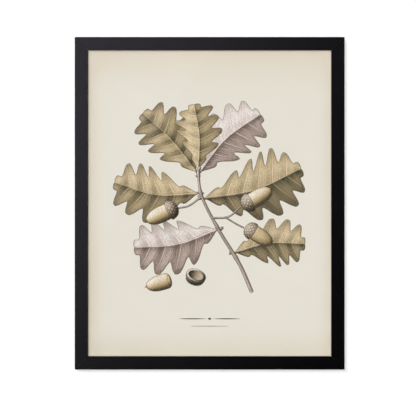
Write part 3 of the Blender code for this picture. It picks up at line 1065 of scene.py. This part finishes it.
def nail_mesh():
    """A flat-head nail, the underside of its head at y = 0 and its point at -y."""
    profile = (
        (0.05 * MM, -NAIL_LENGTH), (NAIL_R, NAIL_POINT - NAIL_LENGTH), (NAIL_R, 0),
        (NAIL_HEAD_R - 0.1 * MM, 0), (NAIL_HEAD_R, 0.1 * MM), (NAIL_HEAD_R, NAIL_HEAD_T - 0.25 * MM),
        (NAIL_HEAD_R - 0.12 * MM, NAIL_HEAD_T - 0.1 * MM), (NAIL_HEAD_R - 0.4 * MM, NAIL_HEAD_T),
        (0.1 * MM, NAIL_HEAD_T),
    )
    return turned("nail", profile, 32)


def eased(node, width):
    """A copy of a piece's own form with its sharp edges rounded."""
    source = frame["nodes"][node]
    bm = bmesh.new()
    bm.from_mesh(source.data)
    bm.transform(source.matrix_world)
    bmesh.ops.remove_doubles(bm, verts=bm.verts, dist=0.001 * MM)
    bmesh.ops.dissolve_limit(bm, angle_limit=radians(1), verts=bm.verts, edges=bm.edges)
    sharp = [edge for edge in bm.edges if edge.is_manifold and edge.calc_face_angle() > SHARP_ABOVE]
    bmesh.ops.bevel(
        bm, geom=sharp, offset=width, segments=2, profile=0.5, affect="EDGES", clamp_overlap=True,
    )
    return mesh_of(bm, node + "_eased")


BUTTON_TURNS = {"left": 0.0, "right": pi, "top": pi / 2, "bottom": -pi / 2}
BUTTONS = (
    "left_upper", "right_upper", "left_lower", "right_lower",
    "top_left", "bottom_left", "top_right", "bottom_right",
)
V_NAILS = ("v_nail_top_left", "v_nail_top_right", "v_nail_bottom_left", "v_nail_bottom_right")


def lined_up(node, y):
    """The place at y that lines up with the middle of a node's box."""
    low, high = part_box(node)
    return Vector(((low.x + high.x) / 2, y, (low.z + high.z) / 2))


def build_fixings():
    zinc, brass, black = zinc_plate(), brass_plate(), rubber()
    button, screw, nail = button_mesh(), screw_mesh(), nail_mesh()
    for name in BUTTONS:
        node = f"screw_{name}"
        head = lined_up(node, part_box(node)[1].y - SCREW_HEAD_T)
        add_piece(f"{node}_fine", screw, zinc, "zinc", BODY, node, at=head)
        node = f"turn_button_{name}"
        pivot = Vector((head.x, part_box(node)[0].y, head.z))
        swing = BUTTON_TURNS[name.split("_")[0]]
        body = f"button_{name}"
        add_piece(f"{node}_fine", button, brass, "brass_plate", body, node, at=pivot, swing=swing)
    for side in ("left", "right"):
        node = f"hanger_nail_{side}"
        head = lined_up(node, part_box(node)[1].y - NAIL_HEAD_T)
        add_piece(f"{node}_fine", nail, zinc, "zinc", BODY, node, at=head)
        node = f"bumper_{side}"
        foot = lined_up(node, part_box(node)[0].y)
        pad = turned(node, [(radius * MM, y * MM) for radius, y in BUMPER_PROFILE], 48)
        add_piece(f"{node}_fine", pad, black, "bumper_rubber", BODY, node, at=foot)
    for node in ("hanger", *V_NAILS):
        width = HANGER_EASE if node == "hanger" else V_NAIL_EASE
        add_piece(f"{node}_fine", eased(node, width), zinc, "zinc", BODY, node)


# Stage, lamps and camera

WALL_SIDE = 6.0
WALL_Y = 0.2 * MM
WALL_GLOW = 0.16
FLOOR_SIDE = 40.0
FLOOR_Z = -1.6
FLOOR_GLOW = 0.5


def stage_sheet(name, side, location, tilt, material):
    mesh = bpy.data.meshes.new(name)
    half = side / 2
    corners = [(-half, -half, 0), (half, -half, 0), (half, half, 0), (-half, half, 0)]
    mesh.from_pydata(corners, [], [(0, 1, 2, 3)])
    item = new_object(name, mesh)
    item.location = location
    item.rotation_euler = tilt
    item.data.materials.append(material)
    return item


def wall_finish():
    """A pale wall that is seen from the front alone, so that the frame's back stays in view."""
    s = Shading("pale_wall")
    s.set(Base_Color=s.mix(s.noise(3, 2), srgb(243, 243, 243), srgb(246, 246, 246)), Roughness=0.9)
    s.set(Emission_Color=(1, 1, 1, 1), Emission_Strength=WALL_GLOW, Specular_IOR_Level=0.0)
    clear = s.add("ShaderNodeBsdfTransparent")
    behind = s.add("ShaderNodeNewGeometry").outputs["Backfacing"]
    s.blend(behind, s.shader.outputs[0], clear.outputs[0])
    return s.material


def floor_finish():
    s = Shading("pale_floor")
    s.set(Base_Color=s.mix(s.noise(2, 2), srgb(236, 236, 234), srgb(240, 240, 238)), Roughness=0.8)
    s.set(Emission_Color=(1, 1, 1, 1), Emission_Strength=FLOOR_GLOW)
    return s.material


def build_stage():
    middle = (0, WALL_Y, FLOOR_Z + WALL_SIDE / 2)
    wall = stage_sheet("wall", WALL_SIDE, middle, (pi / 2, 0, 0), wall_finish())
    wall.visible_shadow = False
    floor = stage_sheet("floor", FLOOR_SIDE, (0, 0, FLOOR_Z), (0, 0, 0), floor_finish())
    floor.visible_glossy = False
    floor.visible_diffuse = False


LAMP_GAIN = 1.075
# The front's lamps: name, place, side and share of full light
FRONT_LAMPS = (
    ("front", (0.15, -4.5, -0.25), 1.0, 0.33),
    ("near_key", (-0.68, -4.5, 0.66), 0.9, 0.38),
    ("wide_key", (-1.62, -3.6, 1.62), 1.8, 0.145),
    ("right_fill", (0.9, -2.2, -0.1), 1.0, 0.06),
)
CARD_AT = (-0.68, -2.2, 0.43)
CARD_W = 1.2
CARD_H = 2.2
CARD_ROLL = radians(-28)
CARD_GLOW = 1.14
CARD_COLOUR = (1.0, 0.94, 1.10)
# The back's lamps: name, place, side and watts
BACK_LAMPS = (
    ("back", (1.3, 2.6, 1.6), 1.6, 70),
    ("back_fill", (-2.2, 2.2, 0.2), 1.6, 35),
)


def lamp(name, offset, width, height, power, gloss=True, roll=0.0):
    """A soft lamp at an offset from the object's middle, facing it, rolled about its own axis."""
    data = bpy.data.lights.new(name, "AREA")
    data.shape = "RECTANGLE"
    data.size = width
    data.size_y = height
    data.energy = power
    item = new_object(name, data)
    item.location = MIDDLE + Vector(offset)
    item.rotation_mode = "QUATERNION"
    facing = (-Vector(offset)).to_track_quat("-Z", "Y")
    item.rotation_quaternion = facing @ Quaternion((0, 0, 1), roll)
    item.visible_glossy = gloss
    return item


def sheet_power(share, offset):
    """Watts for a square lamp at this offset to give a sheet that faces it this share of full light."""
    distance = offset.length
    slant = -offset.y / distance
    return share * pi * distance ** 2 * pi / slant ** 2 * LAMP_GAIN


def build_lamps():
    for name, place, side, share in FRONT_LAMPS:
        offset = Vector(place)
        lamp(name, offset, side, side, sheet_power(share, offset), False)
    watts = CARD_GLOW * pi * CARD_W * CARD_H
    sheen = lamp("sheen_card", CARD_AT, CARD_W, CARD_H, watts, True, CARD_ROLL)
    sheen.data.color = CARD_COLOUR
    sheen.visible_diffuse = False
    for name, place, side, power in BACK_LAMPS:
        lamp(name, place, side, side, power)


# The room's glow, by how far a direction looks to the front
ROOM_RAMP = {"From Min": 0.3, "From Max": 0.85, "To Min": 0.16, "To Max": 0.002}


def build_world():
    """A dim room, darkest where the front looks, behind a white ground for the camera."""
    world = bpy.data.worlds.new("room")
    bpy.context.scene.world = world
    world.use_nodes = True
    nodes, links = world.node_tree.nodes, world.node_tree.links
    ground = nodes["Background"]
    coord = nodes.new("ShaderNodeTexCoord")
    dot = nodes.new("ShaderNodeVectorMath")
    dot.operation = "DOT_PRODUCT"
    dot.inputs[1].default_value = (0, -1, 0)
    links.new(coord.outputs["Generated"], dot.inputs[0])
    ramp = nodes.new("ShaderNodeMapRange")
    ramp.interpolation_type = "SMOOTHSTEP"
    for name, number in ROOM_RAMP.items():
        ramp.inputs[name].default_value = number
    links.new(dot.outputs["Value"], ramp.inputs["Value"])
    seen = nodes.new("ShaderNodeLightPath")
    pick = nodes.new("ShaderNodeMix")
    pick.data_type = "FLOAT"
    links.new(seen.outputs["Is Camera Ray"], pick.inputs[0])
    links.new(ramp.outputs["Result"], pick.inputs[2])
    pick.inputs[3].default_value = 1.0
    links.new(pick.outputs[0], ground.inputs["Strength"])
    ground.inputs["Color"].default_value = (1, 1, 1, 1)


def build_camera():
    """Square on to the print, at the photograph's scale."""
    data = bpy.data.cameras.new("camera")
    data.lens = LENS
    data.sensor_width = SENSOR
    camera = new_object("camera", data)
    distance = LENS / SENSOR * PHOTO_W * PIXEL
    x = -CENTRE_LEFT_OF_OBJECT * PIXEL
    z = (TOP_Z + BOTTOM_Z) / 2 + CENTRE_ABOVE_OBJECT * PIXEL
    camera.location = (x, FRONT_Y - distance, z)
    camera.rotation_euler = (pi / 2, 0, 0)
    bpy.context.scene.camera = camera


def dress_nodes():
    nodes = frame["nodes"]
    level = painted_wood("satin_black_level", True)
    upright = painted_wood("satin_black_upright", False)
    for side, finish in (("top", level), ("bottom", level), ("left", upright), ("right", upright)):
        nodes[f"rail_{side}"].material_slots[0].material = finish
    nodes["glazing"].material_slots[0].material = clear_pane()
    nodes["filler_board"].material_slots[0].material = kraft_board()
    nodes["backing_board"].material_slots[0].material = hardboard()


bpy.context.scene.view_settings.view_transform = "Standard"
dress_nodes()
build_print()
build_fixings()
build_stage()
build_lamps()
build_world()
build_camera()
